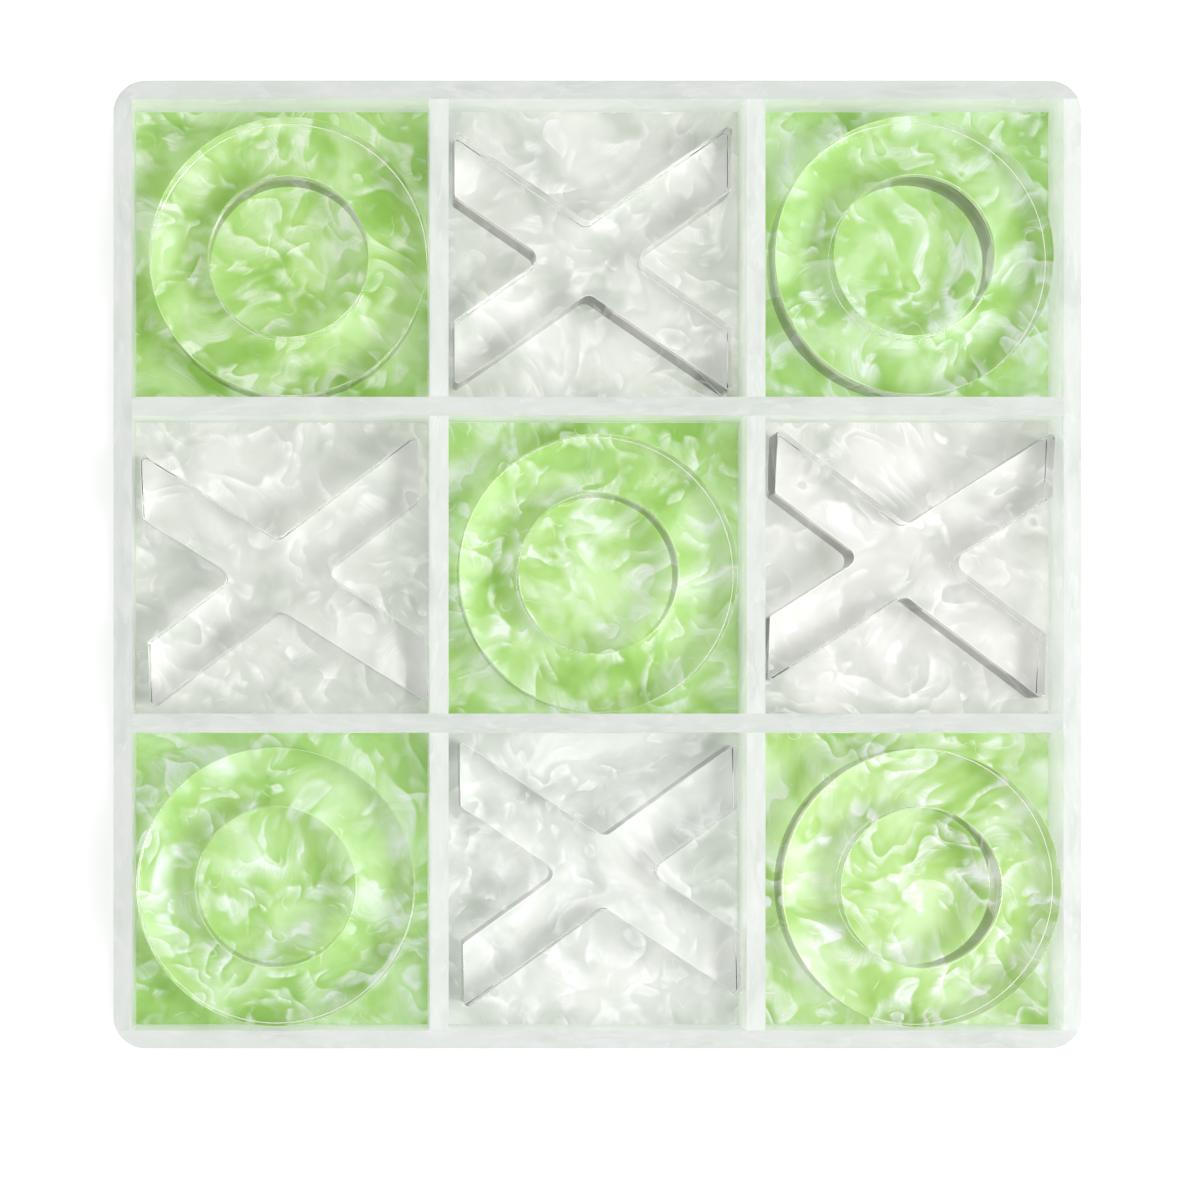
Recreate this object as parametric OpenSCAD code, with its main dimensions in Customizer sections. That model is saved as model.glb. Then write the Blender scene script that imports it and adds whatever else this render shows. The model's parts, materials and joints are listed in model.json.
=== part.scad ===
// Noughts and crosses set in cast acrylic sheet. A shallow square tray is cemented up from a
// base plate, four walls and a grid of dividers. Nine thin tiles line its cells, and five loose
// rings and four loose crosses, cut from thick clear sheet, stand in them.
// Frame: origin at the centre of the underside, +X to the right, +Y to the back, +Z up.

/* [Tray] */
// Outside length of each side of the square tray
board_w = 304.8; // [290:0.1:360]
// Radius of the tray's four outer corners
corner_r = 10; // [1:0.5:20]
// Thickness of the base plate
base_t = 6; // [3:0.5:12]
// Thickness of the four outer walls
wall_t = 5.7; // [4:0.1:8]
// Thickness of the dividers between the cells
divider_t = 5.9; // [4:0.1:8]
// Height of the walls and dividers above the face of the tiles
wall_rise = 20.4; // [6:0.1:40]
// Thickness of the tiles that line the cells
tile_t = 3; // [2:0.5:6]
// Gap between a tile and the walls around it
tile_gap = 0.1; // [0.05:0.05:0.5]
// Hairline of cement at each end of a strip that butts against another
cement_gap = 0.02; // [0.01:0.01:0.1]

/* [Loose pieces] */
// Thickness of the rings and crosses
piece_t = 19; // [5:0.5:25]
// Outside diameter of a ring
ring_d = 88; // [60:0.5:88]
// Diameter of the hole in a ring
ring_hole_d = 50.5; // [10:0.5:55]
// Distance from the middle of a cross to the end of its two shorter arms
cross_short_reach = 42.3; // [32:0.1:43]
// Distance from the middle of a cross to the end of its two longer arms
cross_long_reach = 45.3; // [32:0.1:46]
// Angle between the arms of a cross and its long direction
cross_arm_angle = 34.8; // [25:0.1:36]
// Distance from the middle of a cross to its back and front notches
cross_back_notch = 11.2; // [6:0.1:12]
// Distance from the middle of a cross to its left and right notches
cross_side_notch = 14.2; // [10:0.1:16]
// Radius that eases the corners at the ends of the arms
cross_tip_r = 1.2; // [0.3:0.1:2]
// Radius that eases the notches between the arms
cross_notch_r = 3.2; // [0.5:0.1:4]

/* [Hidden] */

// Columns and rows of the grid, counted from the middle cell
left = -1;
right = 1;
front = -1;
back = 1;
middle = 0;

// The length between facing walls is shared by three cells and two dividers
inner_w = board_w - 2 * wall_t;
cell_w = (inner_w - 2 * divider_t) / 3;
cell_pitch = cell_w + divider_t;

// Levels, counted up from the underside
floor_z = base_t + tile_t;
top_z = floor_z + wall_rise;

// A true circle, and the straight steps in one eased corner of a cross
round_fn = 96;
ease_steps = 8;

white_pearl = [0.90, 0.93, 0.89];
green_pearl = [0.68, 0.84, 0.57];
clear_acrylic = [0.93, 0.97, 0.95, 0.45];

// Every piece was set down by hand: [how far it lies right and back of its cell's middle, turn]
function set_down(right_by, back_by, turn = 0) = [right_by, back_by, turn];

// The tray's outline as a block that stands on z = bottom_z
module tray_block(bottom_z, height) {
    flat_w = board_w - 2 * corner_r;
    translate([0, 0, bottom_z]) {
        translate([-board_w / 2, -flat_w / 2, 0])
            cube([board_w, flat_w, height]);
        translate([-flat_w / 2, -board_w / 2, 0])
            cube([flat_w, board_w, height]);
        for (x = [left, right], y = [front, back])
            translate([x * flat_w / 2, y * flat_w / 2, 0])
                cylinder(h = height, r = corner_r, $fn = round_fn);
    }
}

module base_plate() {
    color(white_pearl)
        tray_block(0, base_t);
}

// One outer wall: a strip of sheet whose ends take the tray's rounded corners
module outer_wall(centre_xy, size_xy) {
    height = top_z - base_t;
    color(white_pearl)
        intersection() {
            tray_block(base_t, height);
            translate([centre_xy[0] - size_xy[0] / 2, centre_xy[1] - size_xy[1] / 2, base_t])
                cube([size_xy[0], size_xy[1], height]);
        }
}

// The back and front walls run the full width
module long_wall(side) {
    outer_wall([0, side * (board_w - wall_t) / 2], [board_w, wall_t]);
}

// The left and right walls stand between them
module short_wall(side) {
    outer_wall([side * (board_w - wall_t) / 2, 0], [wall_t, inner_w - 2 * cement_gap]);
}

// A divider's strip, centred on a point of the grid
module divider(centre_xy, size_xy) {
    color(white_pearl)
        translate([centre_xy[0] - size_xy[0] / 2, centre_xy[1] - size_xy[1] / 2, base_t])
            cube([size_xy[0], size_xy[1], top_z - base_t]);
}

// The two long dividers run from wall to wall
module long_divider(side) {
    divider([0, side * cell_pitch / 2], [inner_w - 2 * cement_gap, divider_t]);
}

// The six short dividers fill in between them, one in each row on each side
module short_divider(side, row) {
    divider([side * cell_pitch / 2, row * cell_pitch], [divider_t, cell_w - 2 * cement_gap]);
}

// A tile lines the floor of one cell
module tile(column, row, pearl) {
    side = cell_w - 2 * tile_gap;
    color(pearl)
        translate([column * cell_pitch - side / 2, row * cell_pitch - side / 2, base_t])
            cube([side, side, tile_t]);
}

// Sets a loose piece down on the tile of one cell
module in_cell(column, row, place) {
    translate([column * cell_pitch + place[0], row * cell_pitch + place[1], floor_z])
        rotate([0, 0, place[2]])
            children();
}

module ring() {
    // The hole's cutter runs past both faces
    over = 1;
    color(clear_acrylic)
        difference() {
            cylinder(h = piece_t, d = ring_d, $fn = round_fn);
            translate([0, 0, -over])
                cylinder(h = piece_t + 2 * over, d = ring_hole_d, $fn = round_fn);
        }
}

function turned(p, angle) = [
    p[0] * cos(angle) - p[1] * sin(angle),
    p[0] * sin(angle) + p[1] * cos(angle)
];

// The arc of radius r that eases the corner at b, on the way from a to c
function eased_corner(a, b, c, r) =
    let (
        to_a = (a - b) / norm(a - b),
        to_c = (c - b) / norm(c - b),
        half = acos(to_a * to_c) / 2,
        centre = b + (to_a + to_c) / norm(to_a + to_c) * r / sin(half),
        start = b + to_a * r / tan(half) - centre,
        side = cross(b - a, c - b) > 0 ? 1 : -1,
        sweep = side * (180 - 2 * half)
    )
    [for (i = [0 : ease_steps]) centre + turned(start, sweep * i / ease_steps)];

// Half of a cross, as [point, radius] pairs from the back notch round one side to the front
// notch. Its two arms end on a plain upright face at x = reach.
function half_cross(reach, side) =
    let (
        rise = tan(cross_arm_angle),
        tip_y = cross_back_notch + reach * rise,
        heel_y = (reach - cross_side_notch) * rise
    )
    [
        [[side * reach, tip_y], cross_tip_r],
        [[side * reach, heel_y], cross_tip_r],
        [[side * cross_side_notch, 0], cross_notch_r],
        [[side * reach, -heel_y], cross_tip_r],
        [[side * reach, -tip_y], cross_tip_r]
    ];

function cross_corners() =
    let (
        long_half = half_cross(cross_long_reach, right),
        short_half = half_cross(cross_short_reach, left),
        last = len(short_half) - 1
    )
    concat(
        [[[0, cross_back_notch], cross_notch_r]],
        long_half,
        [[[0, -cross_back_notch], cross_notch_r]],
        [for (i = [last : -1 : 0]) short_half[i]]
    );

module cross_piece() {
    corners = cross_corners();
    count = len(corners);
    outline = [
        for (i = [0 : count - 1])
            let (
                before = corners[(i + count - 1) % count][0],
                after = corners[(i + 1) % count][0]
            )
            each eased_corner(before, corners[i][0], after, corners[i][1])
    ];
    color(clear_acrylic)
        linear_extrude(height = piece_t)
            polygon(outline);
}

base_plate();

long_wall(back);  // back_wall
long_wall(front);  // front_wall
short_wall(left);  // left_wall
short_wall(right);  // right_wall

long_divider(back);  // back_long_divider
long_divider(front);  // front_long_divider
short_divider(left, back);  // back_left_divider
short_divider(right, back);  // back_right_divider
short_divider(left, middle);  // middle_left_divider
short_divider(right, middle);  // middle_right_divider
short_divider(left, front);  // front_left_divider
short_divider(right, front);  // front_right_divider

tile(left, back, green_pearl);  // back_left_tile
tile(middle, back, white_pearl);  // back_middle_tile
tile(right, back, green_pearl);  // back_right_tile
tile(left, middle, white_pearl);  // middle_left_tile
tile(middle, middle, green_pearl);  // centre_tile
tile(right, middle, white_pearl);  // middle_right_tile
tile(left, front, green_pearl);  // front_left_tile
tile(middle, front, white_pearl);  // front_middle_tile
tile(right, front, green_pearl);  // front_right_tile

in_cell(left, back, set_down(2.4, -2.5)) ring();  // back_left_ring
in_cell(right, back, set_down(0.3, -2.1)) ring();  // back_right_ring
in_cell(middle, middle, set_down(0.4, -2.6)) ring();  // centre_ring
in_cell(left, front, set_down(-1.6, -1.8)) ring();  // front_left_ring
in_cell(right, front, set_down(2.6, -2.2)) ring();  // front_right_ring

in_cell(middle, back, set_down(-2.7, -3)) cross_piece();  // back_cross
in_cell(left, middle, set_down(-0.6, -3, 2.5)) cross_piece();  // left_cross
in_cell(right, middle, set_down(-2.2, 1.5, -2.3)) cross_piece();  // right_cross
in_cell(middle, front, set_down(2.6, 2.7, 181)) cross_piece();  // front_cross
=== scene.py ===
"""Looks for the noughts and crosses set: pearl acrylic, clear loose pieces, studio and camera."""

import json
import math

import bmesh
import bpy
from mathutils import Matrix, Vector


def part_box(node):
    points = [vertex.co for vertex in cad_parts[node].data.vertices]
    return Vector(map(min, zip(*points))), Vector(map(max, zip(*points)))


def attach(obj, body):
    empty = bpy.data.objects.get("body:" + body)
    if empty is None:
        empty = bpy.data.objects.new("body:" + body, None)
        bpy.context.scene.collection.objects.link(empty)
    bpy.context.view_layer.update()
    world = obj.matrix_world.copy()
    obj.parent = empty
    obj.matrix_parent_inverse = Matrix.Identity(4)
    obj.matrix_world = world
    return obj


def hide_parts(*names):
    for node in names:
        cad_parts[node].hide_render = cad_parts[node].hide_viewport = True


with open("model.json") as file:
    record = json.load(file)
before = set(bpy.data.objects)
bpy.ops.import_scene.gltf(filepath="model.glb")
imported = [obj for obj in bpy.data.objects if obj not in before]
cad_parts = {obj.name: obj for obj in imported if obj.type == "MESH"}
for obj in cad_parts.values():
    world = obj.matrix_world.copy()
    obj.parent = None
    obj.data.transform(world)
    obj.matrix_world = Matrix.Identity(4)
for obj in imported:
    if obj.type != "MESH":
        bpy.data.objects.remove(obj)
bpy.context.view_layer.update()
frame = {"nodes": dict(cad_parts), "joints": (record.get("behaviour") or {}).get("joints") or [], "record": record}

MM = 0.001

# Edges of the cut sheet are eased a little, as polishing leaves them
PIECE_EASE = 0.35 * MM
STRIP_EASE = 0.15 * MM
TILE_EASE = 0.05 * MM
EASE_SEGMENTS = 3
# A loose piece only touches its tile at a few points, so that a hair of air is left under it
AIR_GAP = 0.03 * MM
WELD = 0.001 * MM
# Butt joints are closed by a hairline of cement
CEMENT = 0.02 * MM
# The outer walls are cut from one sheet
WALL_LOT = 40
SHARP = math.radians(30)
# A face whose normal leans this far both ways is part of a rounded corner of the tray
ROUNDED = 0.01

WHITE = (1.0, 1.0, 1.0, 1.0)

# Optics of cast acrylic
ACRYLIC_IOR = 1.49
CLEAR_TINT = (0.995, 0.998, 0.995)
# A warmer, darker tint on the upright faces of the clear pieces: painted shade that warms and darkens the bands
# seen through them
UPRIGHT_SHADE_TINT = (0.985, 0.975, 0.94)
# Share of the key light that each face of a standing strip lets through
STRIP_PASS = (0.70, 0.72, 0.69, 1.0)

# Colours of the pearl sheets, as display values from 0 to 1: shade, body, light, and the silky leaves' colour. The
# first three are clouds of the pigment; the leaves are its pattern and also a painted sheen
GREEN_SHEET = ((0.61, 0.78, 0.40), (0.71, 0.86, 0.53), (0.82, 0.935, 0.71), (0.955, 0.985, 0.955))
WHITE_SHEET = ((0.80, 0.82, 0.79), (0.87, 0.88, 0.86), (0.925, 0.93, 0.915), (0.985, 0.985, 0.98))
TILE_SHEETS = {"green_pearl": GREEN_SHEET, "white_pearl": WHITE_SHEET}
STRIP_SHEET = ((0.93, 0.945, 0.93), (0.96, 0.975, 0.96), (0.98, 0.985, 0.98), (1.00, 1.00, 1.00))
# What a strip's sawn edge keeps of its colour
SAWN_EDGE = (0.84, 0.835, 0.845, 1.0)
# Each strip's sawn edge is made brighter or darker by its own factor: outer walls by name,
# dividers by the axis across them.
STRIP_TONE = {"back_wall": 0.97, "left_wall": 1.0, "right_wall": 1.14, "front_wall": 1.03, "X": 1.10}
# Each tile is made brighter or darker all over: painted light and shade, darker at the back left and brighter at
# the front right
TILE_PAINTED_LIGHT = {
    "back_left_tile": (0.88, 0.92, 0.78),
    "back_middle_tile": (0.97, 0.96, 0.95),
    "back_right_tile": (0.93, 0.96, 0.92),
    "middle_left_tile": (0.97, 0.96, 0.95),
    "centre_tile": (0.96, 0.98, 0.92),
    "middle_right_tile": (1.03, 1.00, 1.01),
    "front_left_tile": (0.96, 0.98, 0.96),
    "front_middle_tile": (1.00, 1.00, 1.00),
    "front_right_tile": (1.08, 1.03, 1.09),
}
# What a handled arris keeps of its colour, and how far the wear reaches from it
WORN_EDGE = (0.86, 0.88, 0.87, 1.0)
PEARL_WEAR = 0.5 * MM
CLEAR_WEAR = 0.4 * MM
# Cement that dried in the gaps round the tiles, and how far it sank below their faces
CEMENT_TINTS = ((0.86, 0.93, 0.80), (0.97, 0.99, 0.95))
BEAD_DROP = 0.02 * MM
# How much of the bright backdrop shows through a clear piece, which would else only show the dimmer
# studio that lights the object
CLEAR_VIEW = 0.5
# Share of the light on a standing strip that comes through it from the other side
LIGHT_THROUGH = 0.40
FLOOR_TINTS = ((0.98, 0.98, 0.98), (0.95, 0.95, 0.95))
# The floor is a sheet of white acrylic, lit a little from below
FLOOR_GLOW = 0.20
# What the floor keeps of its colour in the light that it throws back at the object
FLOOR_BOUNCE = (0.45, 0.45, 0.45, 1.0)

# A sheet just under the board, whose lowest face is at the frame's zero
FLOOR_SIZE = 3.0
FLOOR_DROP = 0.2 * MM

# The tent's brightness: all round, near the horizon, and in its opening straight overhead
TENT_LEVEL = 1.16
HORIZON_LEVEL = 0.40
OPENING_LEVEL = 0.064
# Between these heights, as sines of the angle above the floor, the tent grows brighter, and its
# opening for the camera starts
TENT_RISE = (0.1, 0.5)
OPENING_RIM = (math.cos(math.radians(25)), math.cos(math.radians(15)))
KEY_AT = Vector((1.15, -0.40, 1.75))
KEY_SIZE = 0.80
KEY_POWER = 15.0

# How much finer the pigment's pattern is across a sheet's thickness than along it
SHEET_SQUEEZE = 3.5
# How far apart in the pattern two lots of sheet lie
LOT_STEP = 43.0

# The camera looks straight down from here, and its lens is shifted towards the middle
CAMERA_AT = Vector((-83.3, -58.4, 1005.4)) * MM
LENS_SHIFT = (0.0861, 0.0484)
LENS_MM = 93.0


def linear(colour):
    """A display colour as the linear RGBA that nodes take."""
    def channel(v):
        return v / 12.92 if v <= 0.04045 else ((v + 0.055) / 1.055) ** 2.4
    return tuple(channel(v) for v in colour) + (1.0,)


class Graph:
    """The nodes of a material or a world. Every input may be another node's socket or a value."""

    def __init__(self, owner):
        self.owner = owner
        owner.use_nodes = True
        self.tree = owner.node_tree
        self.tree.nodes.clear()

    def node(self, kind, inputs=None, **settings):
        made = self.tree.nodes.new("ShaderNode" + kind)
        for key, value in settings.items():
            setattr(made, key, value)
        for key, value in (inputs or {}).items():
            self.feed(made.inputs[key], value)
        return made

    def feed(self, socket, value):
        if isinstance(value, bpy.types.NodeSocket):
            self.tree.links.new(value, socket)
        else:
            socket.default_value = value

    def math(self, operation, a, b=0.0, clamp=False):
        return self.node("Math", {0: a, 1: b}, operation=operation, use_clamp=clamp).outputs[0]

    def vector(self, operation, a, b=(0.0, 0.0, 0.0)):
        made = self.node("VectorMath", {0: a, 1: b}, operation=operation)
        return made.outputs["Value" if operation in ("DOT_PRODUCT", "LENGTH") else "Vector"]

    def scaled(self, a, factor):
        return self.node("VectorMath", {0: a, "Scale": factor}, operation="SCALE").outputs[0]

    def ramp(self, value, low, high, at_low=0.0, at_high=1.0):
        """Runs smoothly from at_low, where the value is low, to at_high, where it is high."""
        inputs = {"Value": value, "From Min": low, "From Max": high, "To Min": at_low, "To Max": at_high}
        return self.node("MapRange", inputs, interpolation_type="SMOOTHSTEP").outputs["Result"]

    def blend(self, factor, a, b):
        """From colour a to colour b."""
        made = self.node("Mix", data_type="RGBA")
        self.feed(made.inputs[0], factor)
        self.feed(made.inputs[6], a)
        self.feed(made.inputs[7], b)
        return made.outputs[2]

    def tinted(self, factor, colour, tint):
        """The colour, multiplied by the tint as far as the factor goes."""
        made = self.node("Mix", data_type="RGBA", blend_type="MULTIPLY")
        self.feed(made.inputs[0], factor)
        self.feed(made.inputs[6], colour)
        self.feed(made.inputs[7], tint)
        return made.outputs[2]

    def noise(self, coords, scale, detail=2.0, output="Fac", **inputs):
        values = {"Vector": coords, "Scale": scale, "Detail": detail}
        values.update(inputs)
        return self.node("TexNoise", values).outputs[output]

    def bump(self, height, strength, distance):
        inputs = {"Height": height, "Strength": strength, "Distance": distance}
        return self.node("Bump", inputs).outputs[0]

    def millimetres(self):
        """Where the shaded point lies in the frame."""
        return self.scaled(self.node("TexCoord").outputs["Object"], 1 / MM)

    def levelness(self):
        """1 on level faces, down to 0 on upright ones."""
        normal = self.node("NewGeometry").outputs["True Normal"]
        return self.math("ABSOLUTE", self.node("SeparateXYZ", {0: normal}).outputs["Z"])

    def switch(self, flag, shader, other):
        """The first shader where the flag is 0, and the other where it is 1."""
        return self.node("MixShader", {0: flag, 1: shader, 2: other}).outputs[0]

    def ray(self, kind):
        return self.node("LightPath").outputs[kind]

    def in_plain_view(self):
        """1 on a ray from the camera, CLEAR_VIEW once it has come through a clear piece, and 0 on
        bounced light."""
        bounces = self.math("ADD", self.ray("Diffuse Depth"), self.ray("Is Diffuse Ray"))
        direct = self.math("MULTIPLY", self.math("LESS_THAN", bounces, 0.5), CLEAR_VIEW)
        through = self.math("MULTIPLY", direct, self.ray("Is Transmission Ray"))
        return self.math("MAXIMUM", through, self.ray("Is Camera Ray"))

    def finish(self, shader, output="OutputMaterial"):
        self.node(output, {"Surface": shader})
        return self.owner


def sheet_coords(graph, across):
    """Millimetres in the sheet that a piece was cut from. Pigment lies flat in a sheet, so its
    pattern is squeezed across the thickness, whose axis is given. Each lot is another sheet."""
    place = graph.millimetres()
    squeeze = [SHEET_SQUEEZE if axis == across else 1.0 for axis in "XYZ"]
    lot = graph.node("ObjectInfo").outputs["Object Index"]
    offset = graph.node("CombineXYZ", {across: graph.math("MULTIPLY", lot, LOT_STEP)}).outputs[0]
    return graph.vector("ADD", graph.vector("MULTIPLY", place, squeeze), offset)


def stirred(graph, coords, wavelength, reach):
    """Coordinates carried off by a slow current, as the pigment was."""
    drift = graph.noise(coords, 1 / wavelength, 1.0, "Color")
    centred = graph.vector("SUBTRACT", drift, (0.5, 0.5, 0.5))
    return graph.vector("ADD", coords, graph.scaled(centred, reach))


def masked(graph, value, coords, wavelength, low, high):
    """Keeps the value only in patches."""
    cover = graph.ramp(graph.noise(coords, 1 / wavelength, 1.0), low, high)
    return graph.math("MULTIPLY", value, cover)


def leaves(graph, coords, wavelength, turns, grain):
    """Leaves of pigment: each brightens slowly and breaks off at a crisp, curved edge, with fine
    filaments that run across it."""
    field = graph.noise(coords, 1 / wavelength, 1.0, "Color")
    split = graph.node("SeparateXYZ", {0: field}).outputs
    # A lean to one side keeps the leaves from closing into rings
    lean = graph.vector("DOT_PRODUCT", coords, (0.14 / wavelength, 0.10 / wavelength, 0.0))
    phase = graph.math("FRACT", graph.math("MULTIPLY", graph.math("ADD", split["X"], lean), turns))
    rise = graph.math("POWER", phase, 1.5)
    breaks = graph.ramp(phase, 1.0, 0.90)
    comb = graph.node("CombineXYZ", {
        "X": graph.math("MULTIPLY", split["Y"], grain),
        "Y": graph.math("MULTIPLY", split["X"], grain * 0.12),
        "Z": graph.math("MULTIPLY", split["Z"], grain * 0.15),
    }).outputs[0]
    filaments = graph.ramp(graph.noise(comb, 1.0, 3.0), 0.28, 0.78)
    shine = graph.math("ADD", graph.math("MULTIPLY", filaments, 0.55), 0.45)
    return graph.math("MULTIPLY", graph.math("MULTIPLY", rise, breaks), shine)


def creases(graph, coords, wavelength, width):
    """Thin curved lines, where the noise passes its middle value."""
    off_middle = graph.math("SUBTRACT", graph.noise(coords, 1 / wavelength, 1.0), 0.5)
    return graph.ramp(graph.math("ABSOLUTE", off_middle), width, 0.0)


def pearl_pattern(graph, across):
    """(cloud, silk_sheen) from 0 to 1: the slow clouding of the pigment, and its bright silky leaves, which are
    its pattern and also a painted sheen.
    """
    place = sheet_coords(graph, across)
    slow = stirred(graph, place, wavelength=46.0, reach=26.0)
    quick = stirred(graph, slow, wavelength=14.0, reach=9.0)

    def elsewhere(coords, x, y, z):
        """Another stretch of the same noise, so that no two layers line up."""
        return graph.vector("ADD", coords, (x, y, z))

    broad = leaves(graph, quick, wavelength=34.0, turns=6.0, grain=70.0)
    patches = elsewhere(slow, 31.0, 7.0, 0.0)
    broad = masked(graph, broad, patches, wavelength=13.0, low=0.42, high=0.64)
    fine = leaves(graph, elsewhere(quick, 0.0, 90.0, 40.0), wavelength=15.0, turns=5.0, grain=45.0)
    patches = elsewhere(slow, 61.0, 7.0, 20.0)
    fine = masked(graph, fine, patches, wavelength=8.0, low=0.46, high=0.62)
    lines = creases(graph, elsewhere(quick, 0.0, 0.0, 77.0), wavelength=16.0, width=0.008)
    patches = elsewhere(place, 5.0, 70.0, 20.0)
    lines = masked(graph, lines, patches, wavelength=7.0, low=0.55, high=0.64)
    silk_sheen = graph.math("ADD", graph.math("MULTIPLY", broad, 1.2), graph.math("MULTIPLY", fine, 1.2))
    silk_sheen = graph.math("ADD", silk_sheen, graph.math("MULTIPLY", lines, 0.4))
    mottle = graph.noise(elsewhere(quick, 12.0, 40.0, 9.0), 1 / 20.0, 3.0)
    return mottle, graph.math("MINIMUM", silk_sheen, 1.0)


def pearl_colour(graph, sheet, across):
    """(colour, silk) of a pearl sheet, from its four colours."""
    shade, body, light, silk_sheen_colour = [linear(colour) for colour in sheet]
    mottle, silk_sheen = pearl_pattern(graph, across)
    clouded = graph.blend(graph.ramp(mottle, 0.30, 0.50), shade, body)
    clouded = graph.blend(graph.ramp(mottle, 0.46, 0.68), clouded, light)
    # The silky leaves brighten the colour: the pearl's own pattern, and a painted sheen that stays bright out of
    # the light
    return graph.blend(silk_sheen, clouded, silk_sheen_colour), silk_sheen


def polish(graph, roughest):
    """Roughness of a handled, polished face: near mirror, with faint smears and hairlines."""
    place = graph.millimetres()
    smears = graph.ramp(graph.noise(place, 1 / 18.0, detail=4.0), 0.45, 0.75)
    mapped = {"Vector": place, "Rotation": (0.0, 0.0, 0.6), "Scale": (0.25, 6.0, 6.0)}
    stretched = graph.node("Mapping", mapped).outputs[0]
    hairs = graph.ramp(graph.noise(stretched, 1.0, 2.0), 0.66, 0.74)
    worn = graph.math("ADD", graph.math("MULTIPLY", smears, 0.6), graph.math("MULTIPLY", hairs, 0.4))
    return graph.math("MULTIPLY", worn, roughest)


def edge_wear(graph, reach):
    """0 on the faces and up to 1 along the arrises, in patches, where handling has dulled them."""
    place = graph.millimetres()
    rounded = graph.node("Bevel", {"Radius": reach}, samples=3).outputs[0]
    turned_away = graph.vector("DOT_PRODUCT", rounded, graph.node("NewGeometry").outputs["Normal"])
    arris = graph.ramp(turned_away, 0.995, 0.80)
    patches = graph.ramp(graph.noise(place, 1 / 7.0, 3.0), 0.30, 0.65)
    return graph.math("MULTIPLY", arris, graph.math("ADD", graph.math("MULTIPLY", patches, 0.6), 0.4))


def pearl_acrylic(name, sheet, across):
    """Cast pearl sheet: clouded, silky pigment under a polished clear surface."""
    graph = Graph(bpy.data.materials.new(name))
    colour, silk_sheen = pearl_colour(graph, sheet, across)
    # The object colour multiplies a tile all over: its painted light and shade
    with_painted_light = graph.tinted(1.0, colour, graph.node("ObjectInfo").outputs["Color"])
    return graph.finish(pearl_shader(graph, with_painted_light, silk_sheen, sheet))


def standing_pearl_acrylic(name, sheet, across):
    """Pearl sheet that stands on edge. Light comes through it from both sides, its sawn edge on
    top is duller, and it casts a thin shadow."""
    graph = Graph(bpy.data.materials.new(name))
    colour, silk_sheen = pearl_colour(graph, sheet, across)
    tone = graph.tinted(1.0, SAWN_EDGE, graph.node("ObjectInfo").outputs["Color"])
    sawn = graph.tinted(graph.levelness(), colour, tone)
    face = pearl_shader(graph, sawn, silk_sheen, sheet)
    through = graph.node("BsdfTranslucent", {"Color": sawn}).outputs[0]
    solid = graph.switch(LIGHT_THROUGH, face, through)
    passed = graph.node("BsdfTransparent", {"Color": STRIP_PASS}).outputs[0]
    return graph.finish(graph.switch(graph.ray("Is Shadow Ray"), solid, passed))


def pearl_shader(graph, colour, silk_sheen, sheet):
    place = graph.millimetres()
    swell = graph.noise(place, 1 / 14.0, 1.0)
    waves = graph.bump(swell, 0.2, 0.3 * MM)
    wear = edge_wear(graph, PEARL_WEAR)
    near = graph.node("BsdfPrincipled", {
        "Base Color": graph.tinted(wear, colour, WORN_EDGE),
        "Roughness": graph.math("ADD", graph.math("MULTIPLY", silk_sheen, -0.12), 0.42),
        "IOR": ACRYLIC_IOR,
        "Specular IOR Level": 0.0,
        "Coat Weight": 1.0,
        "Coat IOR": ACRYLIC_IOR,
        "Coat Roughness": graph.math("ADD", polish(graph, 0.12), graph.math("MULTIPLY", wear, 0.4)),
        "Coat Normal": waves,
    })
    # Light that bounces between the walls only needs the sheet's average colour
    bounced = graph.node("BsdfDiffuse", {"Color": linear(sheet[1])})
    return graph.switch(graph.ray("Is Diffuse Ray"), near.outputs[0], bounced.outputs[0])


def clear_acrylic(name):
    """Water-clear cast sheet. Its flat faces are polished. Its upright faces keep the fine level ribs
    of the cutter, and a warmer, darker tint on them is painted shade in the bands seen through them."""
    graph = Graph(bpy.data.materials.new(name))
    place = graph.millimetres()
    upright = graph.math("LESS_THAN", graph.levelness(), 0.3)
    ribbed = graph.node("Mapping", {"Vector": place, "Scale": (0.03, 0.03, 1.4)}).outputs[0]
    ribs = graph.math("MULTIPLY", graph.noise(ribbed, 1.0, 2.0), upright)
    ripple = graph.noise(place, 1 / 9.0, 2.0)
    height = graph.math("ADD", ripple, graph.math("MULTIPLY", ribs, 0.6))
    wavy = graph.bump(height, 0.06, 0.3 * MM)
    wear = edge_wear(graph, CLEAR_WEAR)
    # Upright faces take the warmer, darker tint: painted shade in the bands seen through them
    tint = graph.blend(upright, linear(CLEAR_TINT), linear(UPRIGHT_SHADE_TINT))
    seen = graph.node("BsdfPrincipled", {
        "Base Color": tint,
        "Roughness": graph.math("ADD", polish(graph, 0.03), graph.math("MULTIPLY", wear, 0.15)),
        "IOR": ACRYLIC_IOR,
        "Transmission Weight": 1.0,
        "Normal": wavy,
    })
    # Light on its way to a tile is smeared by the ribs
    passed = graph.node("BsdfGlass", {
        "Color": linear(CLEAR_TINT),
        "Roughness": graph.math("MULTIPLY", upright, 0.35),
        "IOR": ACRYLIC_IOR,
    })
    on_its_way = graph.math("GREATER_THAN", graph.ray("Diffuse Depth"), 0.5)
    return graph.finish(graph.switch(on_its_way, seen.outputs[0], passed.outputs[0]))


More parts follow.
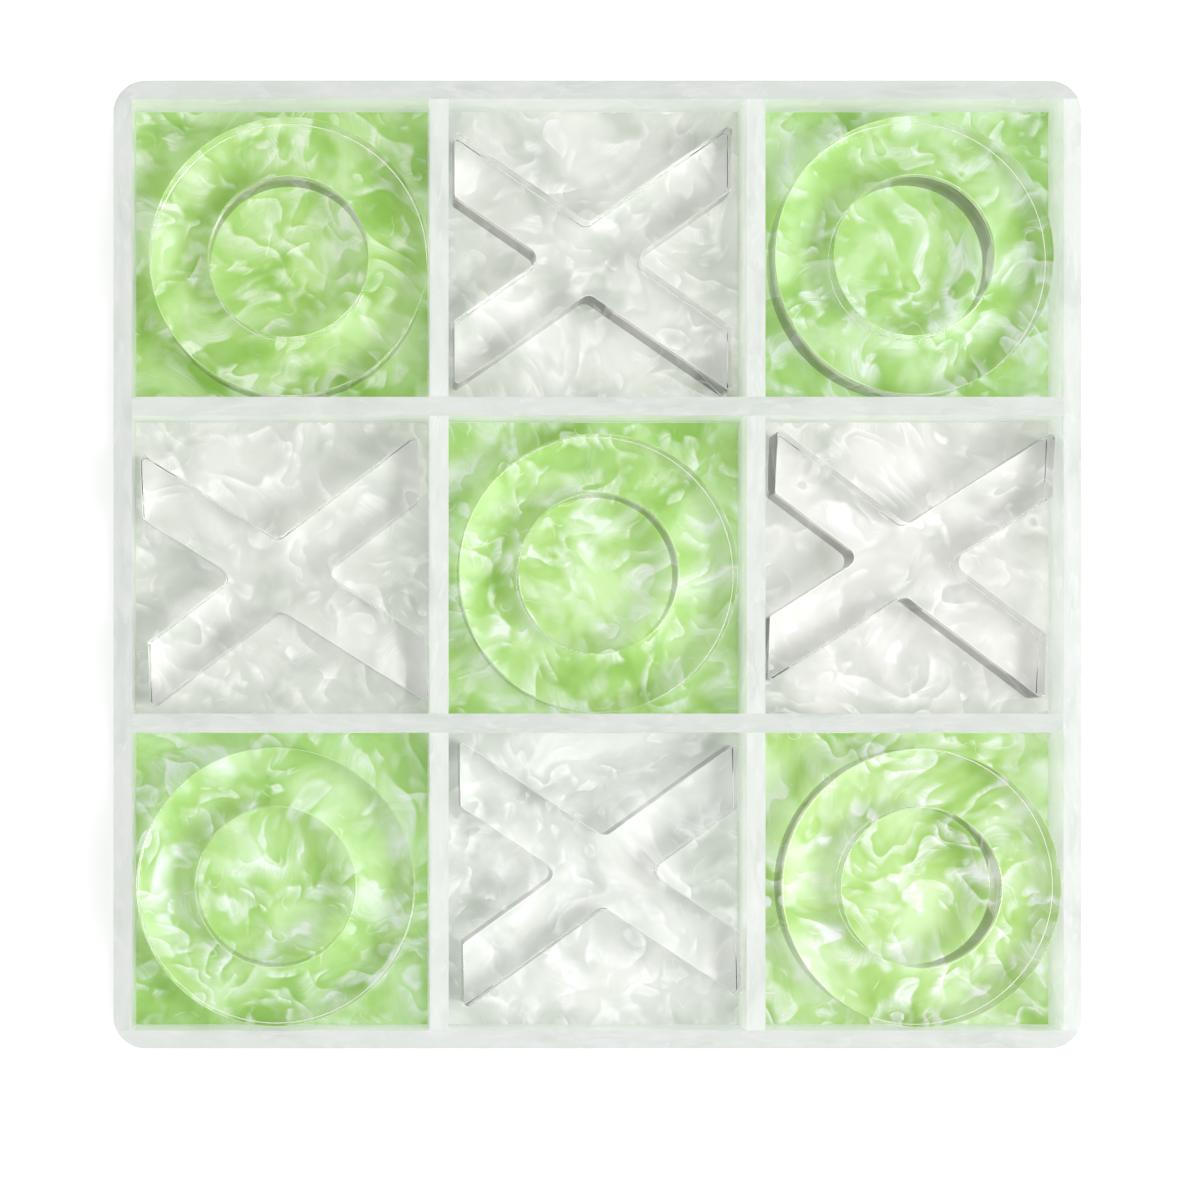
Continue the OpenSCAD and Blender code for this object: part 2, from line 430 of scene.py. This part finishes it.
def studio_floor(name):
    """White acrylic that reads as a clean white ground, but throws less light back up."""
    graph = Graph(bpy.data.materials.new(name))
    grain = graph.noise(graph.node("TexCoord").outputs["Object"], 60.0, 4.0)
    pale, grey = [linear(tint) for tint in FLOOR_TINTS]
    tint = graph.blend(graph.math("MULTIPLY", grain, 0.2), pale, grey)
    seen = graph.node("BsdfPrincipled", {
        "Base Color": tint,
        "Roughness": 0.9,
        "Emission Color": WHITE,
        "Emission Strength": FLOOR_GLOW,
    })
    bounced = graph.node("BsdfDiffuse", {"Color": graph.tinted(1.0, tint, FLOOR_BOUNCE)})
    return graph.finish(graph.switch(graph.in_plain_view(), bounced.outputs[0], seen.outputs[0]))


def add_object(name, data):
    obj = bpy.data.objects.new(name, data)
    bpy.context.scene.collection.objects.link(obj)
    return obj


def add_built(name, bm):
    """Ends a mesh that was being built, and adds it as an object."""
    mesh = bpy.data.meshes.new(name)
    bm.to_mesh(mesh)
    bm.free()
    return add_object(name, mesh)


def set_material(obj, material):
    obj.data.materials.clear()
    obj.data.materials.append(material)


def ease_edges(obj, width):
    """Rounds a sharp strip or tile a little. The CAD mesh keeps its own vertices."""
    weld = obj.modifiers.new("weld", "WELD")
    weld.merge_threshold = WELD
    bevel = obj.modifiers.new("ease", "BEVEL")
    bevel.width = width
    bevel.segments = EASE_SEGMENTS
    bevel.limit_method = "ANGLE"
    bevel.angle_limit = SHARP
    bevel.harden_normals = True


def is_sharp(edge):
    return edge.is_manifold and edge.calc_face_angle() > SHARP


def rim_edges(bm, low_z, high_z):
    """Sharp edges that run along the top or the bottom outline."""
    def level(edge, z):
        return all(abs(vert.co.z - z) < WELD for vert in edge.verts)
    return [edge for edge in bm.edges if (level(edge, low_z) or level(edge, high_z)) and is_sharp(edge)]


def round_over(bm, edges, radius):
    bmesh.ops.bevel(bm, geom=edges, offset=radius, segments=EASE_SEGMENTS, profile=0.5, affect="EDGES")


def new_piece(node, bm, suffix, body):
    """Makes a built mesh the visible piece of its node."""
    piece = add_built(node + suffix, bm)
    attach(piece, body)
    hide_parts(node)
    return piece


def polished_piece(node):
    """A loose piece with rounded rims, which stands for its CAD node."""
    low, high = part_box(node)
    bm = bmesh.new()
    bm.from_mesh(frame["nodes"][node].data)
    bmesh.ops.remove_doubles(bm, verts=bm.verts, dist=WELD)
    for vert in bm.verts:
        vert.co.z = max(vert.co.z, low.z + AIR_GAP)
    round_over(bm, rim_edges(bm, low.z + AIR_GAP, high.z), PIECE_EASE)
    for face in bm.faces:
        face.smooth = True
    piece = new_piece(node, bm, "_polished", node)
    # Flat faces stay flat right up to their rounded rims
    weighted = piece.modifiers.new("flat_faces", "WEIGHTED_NORMAL")
    weighted.mode = "FACE_AREA"
    weighted.weight = 100
    return piece


def cement_material(name):
    """Clear cement that dried in a joint: pale, with small bubbles and dull stretches."""
    graph = Graph(bpy.data.materials.new(name))
    place = graph.millimetres()
    bubbles = graph.ramp(graph.noise(place, 1.2, 3.0), 0.45, 0.60)
    solid, bubbly = [linear(tint) for tint in CEMENT_TINTS]
    shader = graph.node("BsdfPrincipled", {
        "Base Color": graph.blend(bubbles, solid, bubbly),
        "Roughness": graph.math("ADD", graph.math("MULTIPLY", bubbles, 0.3), 0.3),
        "IOR": ACRYLIC_IOR,
        "Normal": graph.bump(bubbles, 0.3, 0.05 * MM),
    })
    return graph.finish(shader.outputs[0])


def square_loop(bm, low, high, out, z):
    """The corners of a square that runs round a tile at this distance out from it."""
    left, right, front, back = low.x - out, high.x + out, low.y - out, high.y + out
    corners = [(left, front), (right, front), (right, back), (left, back)]
    return [bm.verts.new((x, y, z)) for x, y in corners]


def cement_beads(tiles):
    """The cement that fills the gap round every tile, just below the tile's face."""
    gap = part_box("middle_left_tile")[0].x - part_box("left_wall")[1].x
    bm = bmesh.new()
    for tile in tiles:
        low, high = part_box(tile)
        top = high.z - BEAD_DROP
        # Each corner of the bead's section, as its distance out from the tile and its height
        section = [(gap, top), (0.0, top), (0.0, low.z), (gap, low.z)]
        loops = [square_loop(bm, low, high, out, z) for out, z in section]
        for k, here in enumerate(loops):
            following = loops[(k + 1) % len(loops)]
            for i in range(len(here)):
                j = (i + 1) % len(here)
                bm.faces.new((here[i], here[j], following[j], following[i]))
    bmesh.ops.recalc_face_normals(bm, faces=bm.faces[:])
    beads = add_built("tile_cement", bm)
    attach(beads, "tray")
    set_material(beads, cement_material("joint_cement"))


def area_light(name, at, size, power):
    """A square softbox that faces the middle of the board."""
    data = bpy.data.lights.new(name, "AREA")
    data.shape = "SQUARE"
    data.size = size
    data.energy = power
    light = add_object(name, data)
    light.location = at
    light.rotation_mode = "QUATERNION"
    light.rotation_quaternion = (-at).to_track_quat("-Z", "Y")


def studio_world():
    """A white tent, dimmer towards the horizon, with a dark opening straight overhead for the
    camera. The camera itself sees plain white behind the object."""
    graph = Graph(bpy.data.worlds.new("tent"))
    up = graph.node("SeparateXYZ", {0: graph.node("TexCoord").outputs["Generated"]}).outputs["Z"]
    lift = graph.math("MULTIPLY", graph.in_plain_view(), 1.0 - HORIZON_LEVEL)
    horizon = graph.math("ADD", lift, HORIZON_LEVEL)
    tent = graph.ramp(up, *TENT_RISE, horizon, TENT_LEVEL)
    opened = graph.ramp(up, *OPENING_RIM, 1.0, OPENING_LEVEL / TENT_LEVEL)
    strength = graph.math("MULTIPLY", tent, opened)
    lit = graph.node("Background", {"Color": WHITE, "Strength": strength}).outputs[0]
    backdrop = graph.node("Background", {"Color": WHITE, "Strength": 1.0}).outputs[0]
    shader = graph.switch(graph.ray("Is Camera Ray"), lit, backdrop)
    bpy.context.scene.world = graph.finish(shader, "OutputWorld")


def lay_floor():
    half, z = FLOOR_SIZE / 2, -FLOOR_DROP
    mesh = bpy.data.meshes.new("floor")
    corners = [(-half, -half, z), (half, -half, z), (half, half, z), (-half, half, z)]
    mesh.from_pydata(corners, [], [(0, 1, 2, 3)])
    floor = add_object("floor", mesh)
    set_material(floor, studio_floor("studio_floor"))


def place_camera():
    """Looks straight down, with the lens shifted sideways instead of the camera tilted. The shift
    is a shear in the parent's inverse, so that a view from another side, which drops the parent,
    looks straight at the object."""
    stand = add_object("camera_stand", None)
    stand.location = CAMERA_AT
    data = bpy.data.cameras.new("camera")
    data.lens = LENS_MM * math.sqrt(1 + LENS_SHIFT[0] ** 2 + LENS_SHIFT[1] ** 2)
    camera = add_object("camera", data)
    shift = Matrix.Identity(4)
    shift[0][2] = -LENS_SHIFT[0]
    shift[1][2] = -LENS_SHIFT[1]
    camera.parent = stand
    camera.matrix_parent_inverse = shift
    bpy.context.scene.camera = camera


def sheet_axis(node):
    """The axis across the sheet that a node was cut from: the one it is thinnest along."""
    low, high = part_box(node)
    spans = [high[i] - low[i] for i in range(3)]
    return "XYZ"[spans.index(min(spans))]


def cemented(edge, inner):
    """Whether an edge of an outer wall lies in the cemented joint at a corner of the tray."""
    def in_joint(vert):
        return abs(abs(vert.co.y) - inner) < 2 * CEMENT and abs(vert.co.x) > inner - 2 * CEMENT
    return all(in_joint(vert) for vert in edge.verts)


def eased_wall(node):
    """An outer wall with rounded edges, which stands for its CAD node. Its edges stay sharp where
    two walls meet, so that the cemented joint doesn't show as a groove."""
    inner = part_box("back_wall")[0].y
    bm = bmesh.new()
    bm.from_mesh(frame["nodes"][node].data)
    bmesh.ops.remove_doubles(bm, verts=bm.verts, dist=WELD)
    for side in (-1, 1):
        whole = bm.verts[:] + bm.edges[:] + bm.faces[:]
        bmesh.ops.bisect_plane(bm, geom=whole, plane_co=(side * inner, 0, 0), plane_no=(1, 0, 0))
    round_over(bm, [e for e in bm.edges if is_sharp(e) and not cemented(e, inner)], STRIP_EASE)
    for face in bm.faces:
        face.smooth = min(abs(face.normal.x), abs(face.normal.y)) > ROUNDED
    return new_piece(node, bm, "_eased", "tray")


def dress_tray(nodes):
    """Tiles, strips and base take their pearl. All but the outer walls keep their CAD mesh."""
    slots = {part["node"]: part["material_slot"] for part in frame["record"]["subparts"]}
    names = frame["record"]["behaviour"]["bodies"]["tray"]
    cement_beads([name for name in names if name.endswith("_tile")])
    cut = {}
    for lot, name in enumerate(names):
        across = sheet_axis(name)
        is_tile = name.endswith("_tile")
        is_wall = name.endswith("_wall")
        kind = "_".join((slots[name], "tile" if is_tile else "strip", across))
        if kind not in cut:
            if is_tile:
                cut[kind] = pearl_acrylic(kind, TILE_SHEETS[slots[name]], across)
            elif across == "Z":
                cut[kind] = pearl_acrylic(kind, STRIP_SHEET, across)
            else:
                cut[kind] = standing_pearl_acrylic(kind, STRIP_SHEET, across)
        piece = eased_wall(name) if is_wall else nodes[name]
        piece.pass_index = WALL_LOT if is_wall else lot
        # The object colour carries each tile's painted light and shade, and each strip's factor for its sawn edge
        grey = STRIP_TONE.get(name, STRIP_TONE.get(across, 1.0))
        piece.color = (*TILE_PAINTED_LIGHT.get(name, (grey, grey, grey)), 1.0)
        set_material(piece, cut[kind])
        if not is_wall:
            ease_edges(piece, TILE_EASE if is_tile else STRIP_EASE)


def main():
    dress_tray(frame["nodes"])
    clear = clear_acrylic("water_clear_acrylic")
    for joint in frame["joints"]:
        set_material(polished_piece(joint["child"]), clear)
    lay_floor()
    studio_world()
    area_light("key_softbox", KEY_AT, KEY_SIZE, KEY_POWER)
    place_camera()

    scene = bpy.context.scene
    scene.view_settings.view_transform = "Standard"
    scene.cycles.use_denoising = True
    scene.cycles.max_bounces = 20
    scene.cycles.diffuse_bounces = 4
    scene.cycles.glossy_bounces = 6
    scene.cycles.transmission_bounces = 16
    scene.cycles.blur_glossy = 0.0
    scene.cycles.caustics_refractive = True
    scene.cycles.caustics_reflective = True


main()
